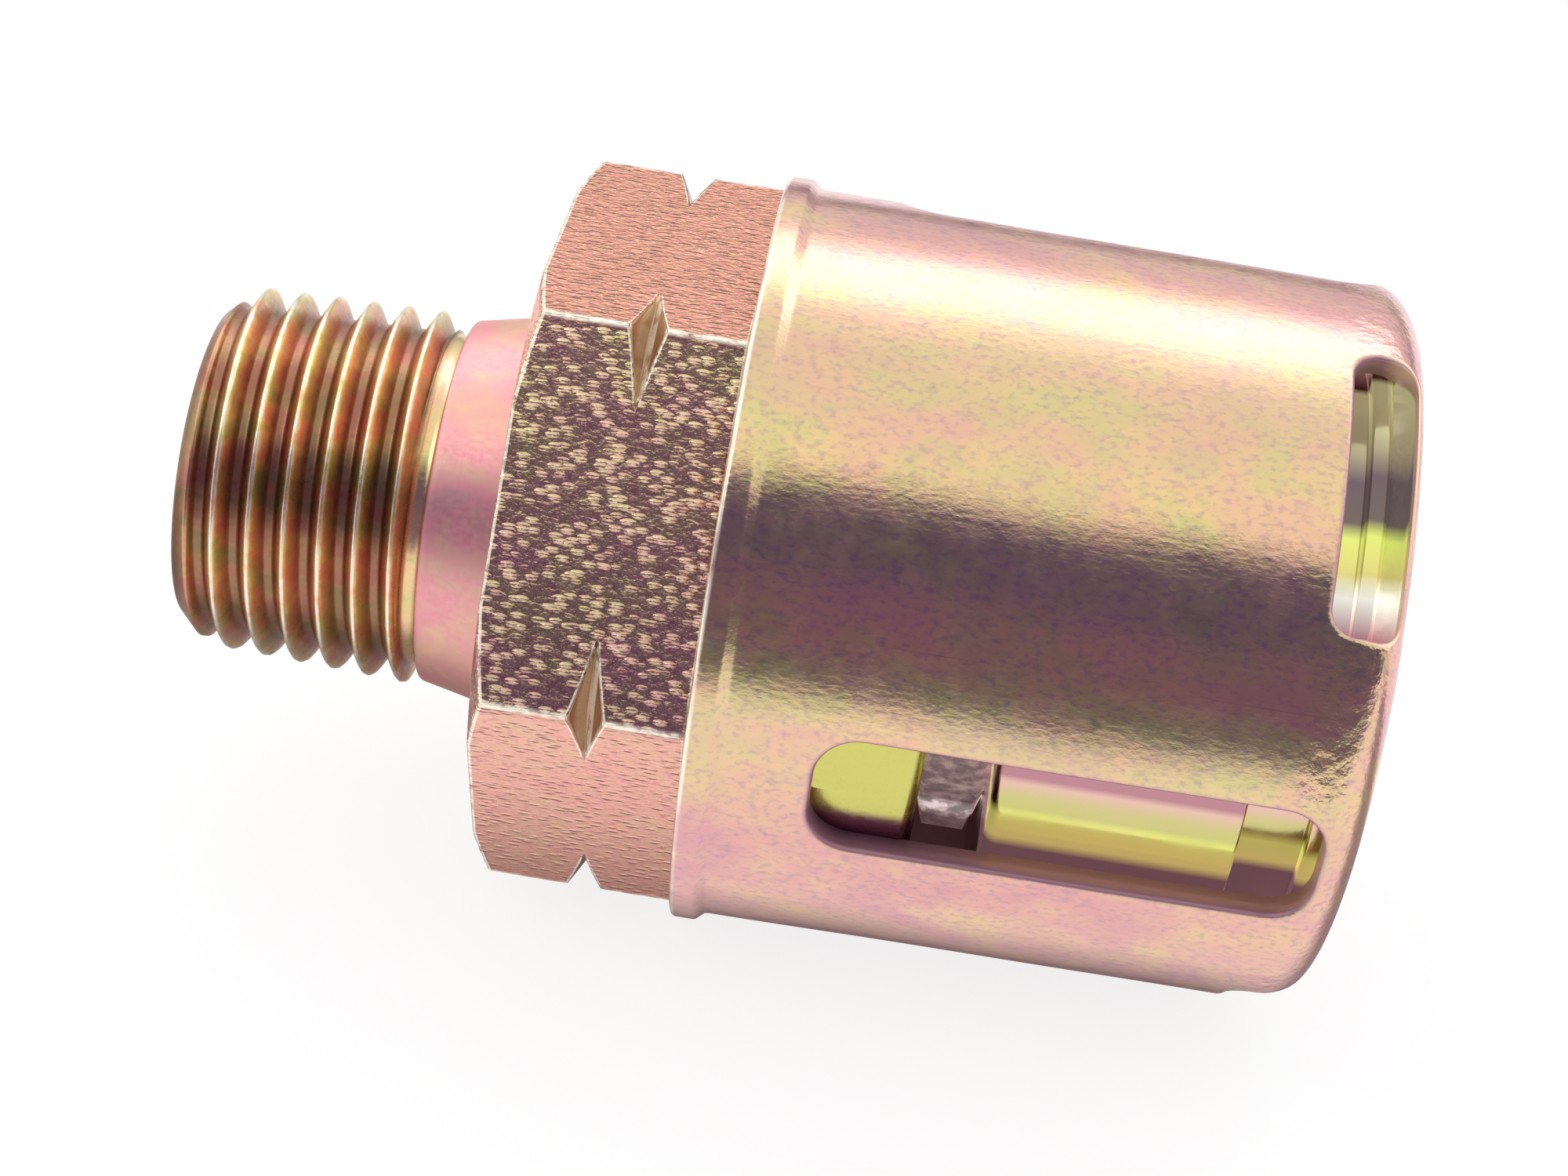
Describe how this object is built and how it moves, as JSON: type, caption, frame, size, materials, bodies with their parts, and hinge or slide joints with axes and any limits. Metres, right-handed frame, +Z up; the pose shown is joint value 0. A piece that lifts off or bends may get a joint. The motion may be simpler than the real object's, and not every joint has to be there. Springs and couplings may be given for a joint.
{
  "type": "pneumatic muffler",
  "caption": "Threaded exhaust muffler with a hexagon body, a slotted shroud pressed over it and a sprung piston that opens under exhaust pressure.",
  "frame": {"origin": "centre of the inlet end face of the male thread, on the axis", "axes": "+X along the axis from the thread to the shroud's closed end; +Z up through one spanner flat of the hexagon; +Y by the right-hand rule"},
  "size_m": [0.03, 0.0194, 0.0194],
  "materials": {
    "turned_yellow_zinc": "yellow-chromated zinc on turned steel, iridescent",
    "drawn_yellow_zinc": "yellow-chromated zinc on drawn sheet, iridescent",
    "bright_yellow_zinc": "bright yellow-green chromated zinc",
    "bright_zinc": "bright zinc plating",
    "spring_steel": "drawn spring wire, oiled",
    "stainless_sheet": "rolled stainless sheet",
    "knitted_wire": "knitted and pressed wire",
    "seat_brass": "turned brass",
    "nitrile_rubber": "matt",
    "white_ptfe": "waxy"
  },
  "bodies": {
    "housing": {"body": "turned_yellow_zinc", "shroud": "drawn_yellow_zinc", "inlet_screen": "stainless_sheet", "silencing_pack": "knitted_wire", "outlet_screen": "stainless_sheet", "seat_ring": "seat_brass", "seat_seal": "nitrile_rubber", "retaining_ring": "spring_steel", "guide_cup": "bright_yellow_zinc", "guide_ring": "white_ptfe", "spring": "spring_steel"},
    "piston_group": {"piston": "bright_yellow_zinc", "poppet": "bright_zinc", "sealing_disc": "nitrile_rubber", "disc_washer": "bright_zinc", "lock_washer": "spring_steel", "poppet_nut": "bright_zinc"}
  },
  "joints": [
    {"name": "piston_slide", "type": "slide", "parent": "housing", "child": "piston_group", "axis": [1, 0, 0], "range_m": [0, 0.0016], "stiffness_N_per_m": 375, "springref_m": -0.0037, "deforming": ["spring"]}
  ]
}
